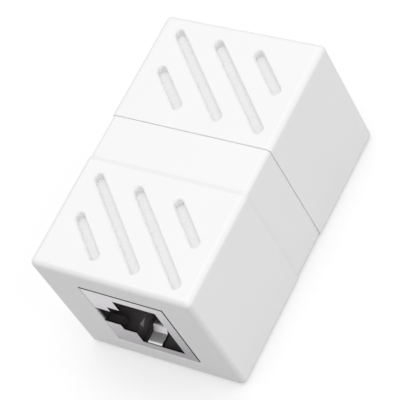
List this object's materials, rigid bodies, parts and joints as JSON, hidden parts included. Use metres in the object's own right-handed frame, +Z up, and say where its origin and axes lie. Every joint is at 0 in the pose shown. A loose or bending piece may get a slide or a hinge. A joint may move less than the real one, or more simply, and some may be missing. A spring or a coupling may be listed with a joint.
{
  "type": "rj45 inline coupler",
  "caption": "Small white box-shaped coupler with a shielded modular socket in each end, for joining two patch cords in line.",
  "frame": {"origin": "middle of the underside", "axes": "+Y along the length, towards the rear socket; +Z up; +X to the right seen from the front socket"},
  "size_m": [0.0278, 0.045, 0.0232],
  "materials": {
    "shell_plastic": "fine satin white moulding",
    "shield_metal": "plated sheet metal",
    "socket_plastic": "black moulding",
    "contact_metal": "gold-plated",
    "board": "green solder mask"
  },
  "bodies": {
    "root": {"front_shell": "shell_plastic", "rear_shell": "shell_plastic", "circuit_board": "board", "front_shield": "shield_metal", "front_socket_body": "socket_plastic", "front_contact_carrier": "socket_plastic", "front_contact_1": "contact_metal", "front_contact_2": "contact_metal", "front_contact_3": "contact_metal", "front_contact_4": "contact_metal", "front_contact_5": "contact_metal", "front_contact_6": "contact_metal", "front_contact_7": "contact_metal", "front_contact_8": "contact_metal", "rear_shield": "shield_metal", "rear_socket_body": "socket_plastic", "rear_contact_carrier": "socket_plastic", "rear_contact_1": "contact_metal", "rear_contact_2": "contact_metal", "rear_contact_3": "contact_metal", "rear_contact_4": "contact_metal", "rear_contact_5": "contact_metal", "rear_contact_6": "contact_metal", "rear_contact_7": "contact_metal", "rear_contact_8": "contact_metal"}
  },
  "joints": []
}
